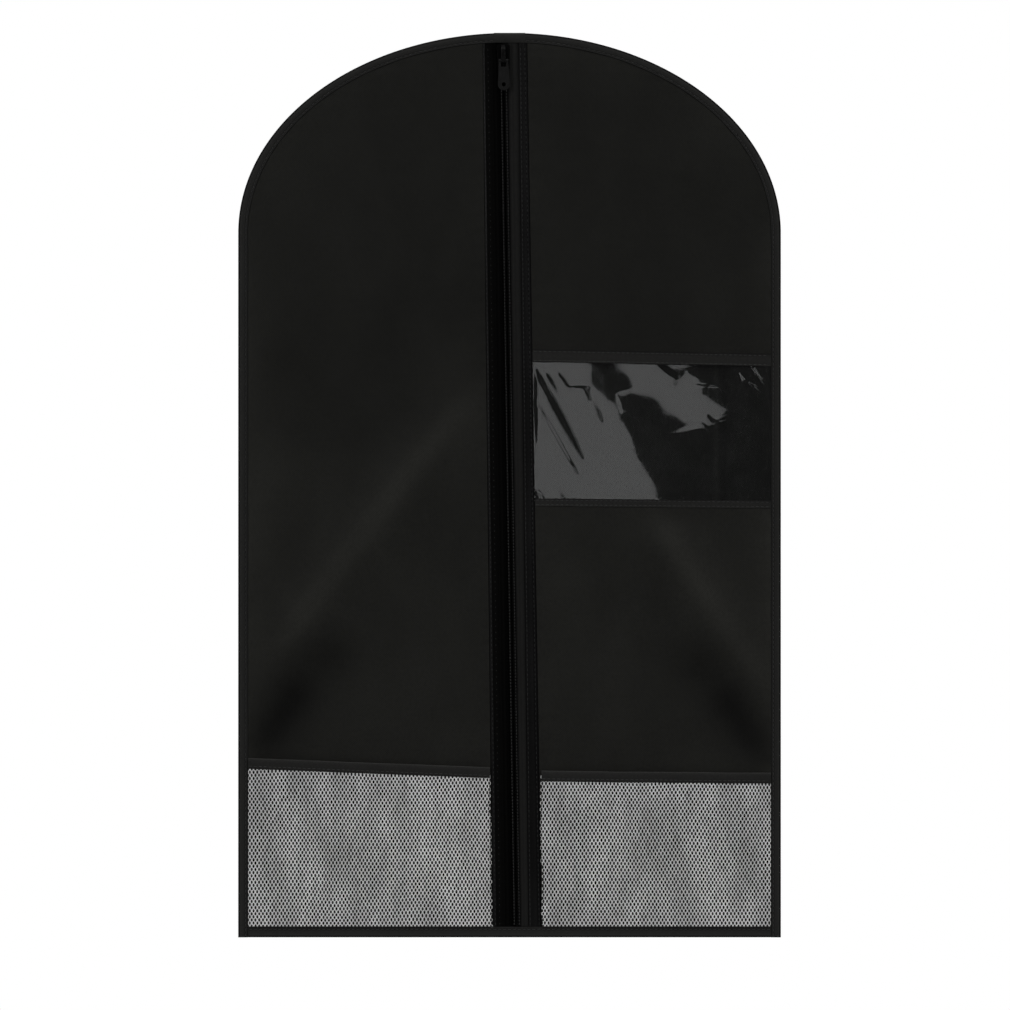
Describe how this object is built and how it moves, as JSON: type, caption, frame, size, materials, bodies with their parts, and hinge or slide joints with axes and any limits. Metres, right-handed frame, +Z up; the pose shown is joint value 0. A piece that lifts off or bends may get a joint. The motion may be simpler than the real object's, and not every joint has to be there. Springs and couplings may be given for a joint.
{
  "type": "garment bag",
  "caption": "Hanging garment bag with an arched bound edge, full-length front zip, clear film window, net pockets and a hanger opening at the top.",
  "frame": {"origin": "middle of the hanger opening in the top seam", "axes": "+X across the bag to the right as seen from the front, +Y through the bag from front to back, +Z up; the zip faces -Y"},
  "size_m": [0.6, 0.023, 1],
  "materials": {
    "panel_cloth": "matt coated cloth with a fine diagonal weave",
    "binding_tape": "matt ribbed tape",
    "clear_film": "glossy clear film, softly creased",
    "zip_tape": "matt herringbone tape",
    "zip_coil": "satin nylon coil",
    "pocket_net": "warp-knit net with oval holes",
    "slider_metal": "satin black lacquer"
  },
  "bodies": {
    "bag": {"back_panel": "panel_cloth", "back_side_left": "panel_cloth", "back_side_right": "panel_cloth", "back_side_bottom": "panel_cloth", "back_shoulder_left": "panel_cloth", "back_shoulder_right": "panel_cloth", "opening_throat": "panel_cloth", "front_left_panel": "panel_cloth", "front_right_upper_panel": "panel_cloth", "front_right_lower_panel": "panel_cloth", "window_film": "clear_film", "window_top_hem": "binding_tape", "window_bottom_hem": "binding_tape", "placket_left": "panel_cloth", "placket_right": "panel_cloth", "zip_tape_left": "zip_tape", "zip_tape_right": "zip_tape", "zip_coil_left": "zip_coil", "zip_coil_right": "zip_coil", "edge_binding_left": "binding_tape", "edge_binding_right": "binding_tape", "bottom_binding": "binding_tape", "opening_binding_front": "binding_tape", "opening_binding_back": "binding_tape", "pocket_net_left": "pocket_net", "pocket_net_right": "pocket_net", "pocket_binding_left": "binding_tape", "pocket_binding_right": "binding_tape"},
    "slider": {"slider_body": "slider_metal"},
    "pull": {"pull_tab": "slider_metal"}
  },
  "joints": [
    {"name": "zip_slide", "type": "slide", "parent": "bag", "child": "slider", "axis": [0.0155, 0, -0.9999], "range_m": [0, 0.93]},
    {"name": "pull_swing", "type": "hinge", "parent": "slider", "child": "pull", "pos_m": [-0.00672, -0.012, -0.031], "axis": [0.9999, 0, 0.0155], "range_deg": [-150, 5]}
  ]
}
